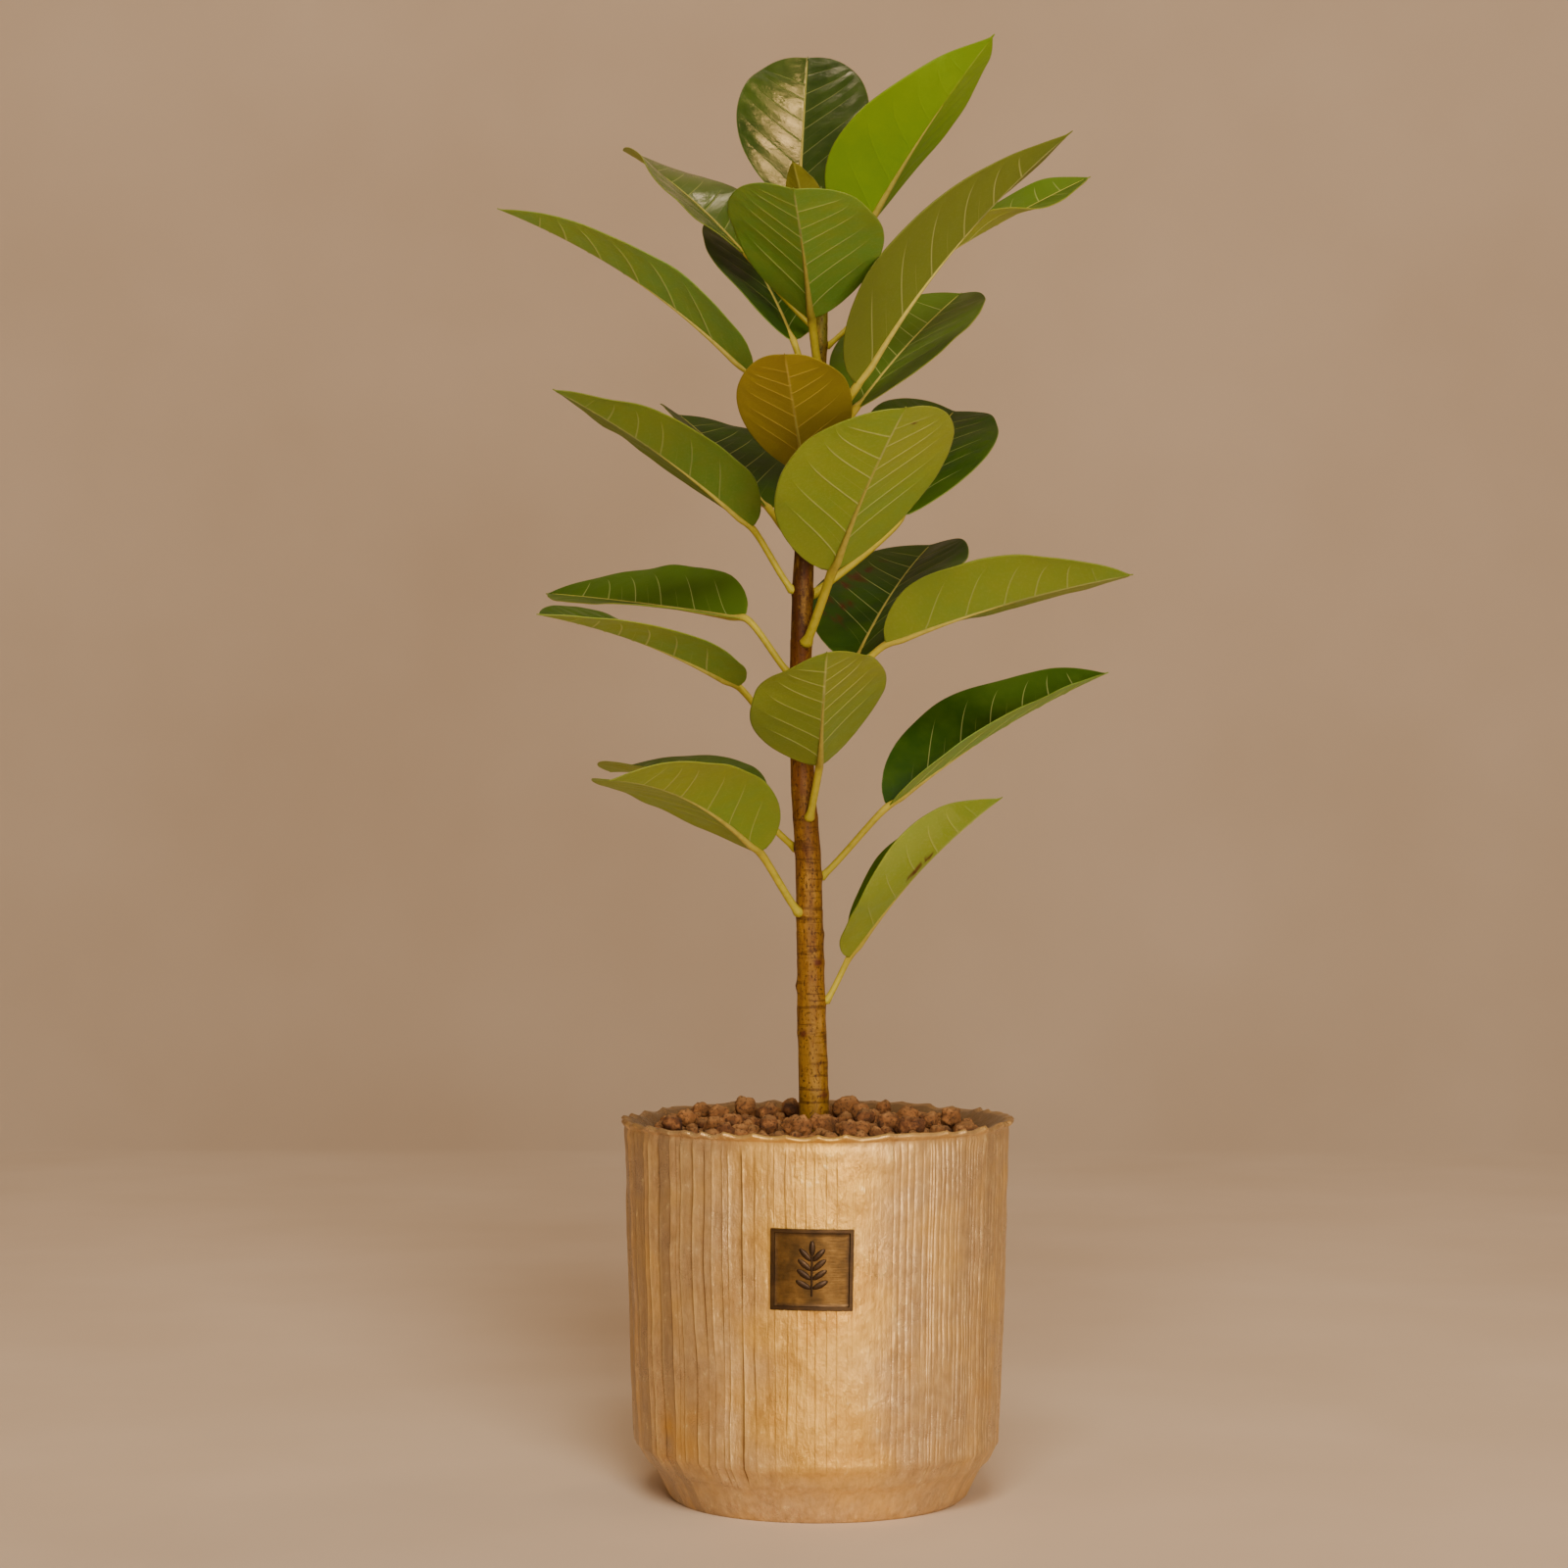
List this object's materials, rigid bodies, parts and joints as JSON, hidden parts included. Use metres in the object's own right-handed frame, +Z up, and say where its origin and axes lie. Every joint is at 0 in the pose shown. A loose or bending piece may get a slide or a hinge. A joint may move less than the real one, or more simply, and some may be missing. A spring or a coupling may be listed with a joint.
{
  "type": "potted rubber plant",
  "caption": "Young rubber plant with a single upright stem and broad leathery leaves, in a round ribbed clay pot topped with clay pebbles.",
  "frame": {"origin": "centre of the pot's flat foot, on the surface it stands on", "axes": "+Z up along the stem, -Y towards the plaque on the front of the pot, +X to the right seen from the front"},
  "size_m": [0.313, 0.2957, 0.7623],
  "materials": {
    "glazed_clay": "satin gold-brown glaze on a hand-ribbed clay wall, paler on the ridges",
    "dark_brass": "darkened brass with a raised border",
    "potting_mix": "loose peat and bark mix",
    "fired_clay": "rough, porous fired clay",
    "bark": "golden-brown bark, cracked low down, reddish to green higher up",
    "bud_sheath": "smooth waxy sheath",
    "leaf_green": "dark and glossy above, olive and satin below",
    "leaf_bronze": "bronze-amber satin",
    "leaf_young": "amber to yellow-green satin"
  },
  "bodies": {
    "root": {"pot": "glazed_clay", "plaque": "dark_brass", "potting_mix": "potting_mix", "clay_pebble_bed": "fired_clay", "clay_pebble_01": "fired_clay", "clay_pebble_02": "fired_clay", "clay_pebble_03": "fired_clay", "clay_pebble_04": "fired_clay", "clay_pebble_05": "fired_clay", "clay_pebble_06": "fired_clay", "clay_pebble_07": "fired_clay", "clay_pebble_08": "fired_clay", "clay_pebble_09": "fired_clay", "clay_pebble_10": "fired_clay", "clay_pebble_11": "fired_clay", "clay_pebble_12": "fired_clay", "clay_pebble_13": "fired_clay", "clay_pebble_14": "fired_clay", "clay_pebble_15": "fired_clay", "clay_pebble_16": "fired_clay", "clay_pebble_17": "fired_clay", "clay_pebble_18": "fired_clay", "clay_pebble_19": "fired_clay", "clay_pebble_20": "fired_clay", "clay_pebble_21": "fired_clay", "clay_pebble_22": "fired_clay", "clay_pebble_23": "fired_clay", "clay_pebble_24": "fired_clay", "clay_pebble_25": "fired_clay", "clay_pebble_26": "fired_clay", "stem": "bark", "terminal_bud": "bud_sheath", "leaf_01": "leaf_green", "leaf_02": "leaf_green", "leaf_03": "leaf_green", "leaf_04": "leaf_green", "leaf_05": "leaf_green", "leaf_06": "leaf_green", "leaf_07": "leaf_green", "leaf_08": "leaf_green", "leaf_09": "leaf_green", "leaf_10": "leaf_green", "leaf_11": "leaf_green", "leaf_12": "leaf_green", "leaf_13": "leaf_green", "leaf_14": "leaf_bronze", "leaf_15": "leaf_green", "leaf_16": "leaf_green", "leaf_17": "leaf_green", "leaf_18": "leaf_green", "leaf_19": "leaf_green", "leaf_20": "leaf_green", "leaf_21": "leaf_green", "leaf_22": "leaf_green", "leaf_23": "leaf_green", "young_leaf": "leaf_young"}
  },
  "joints": []
}
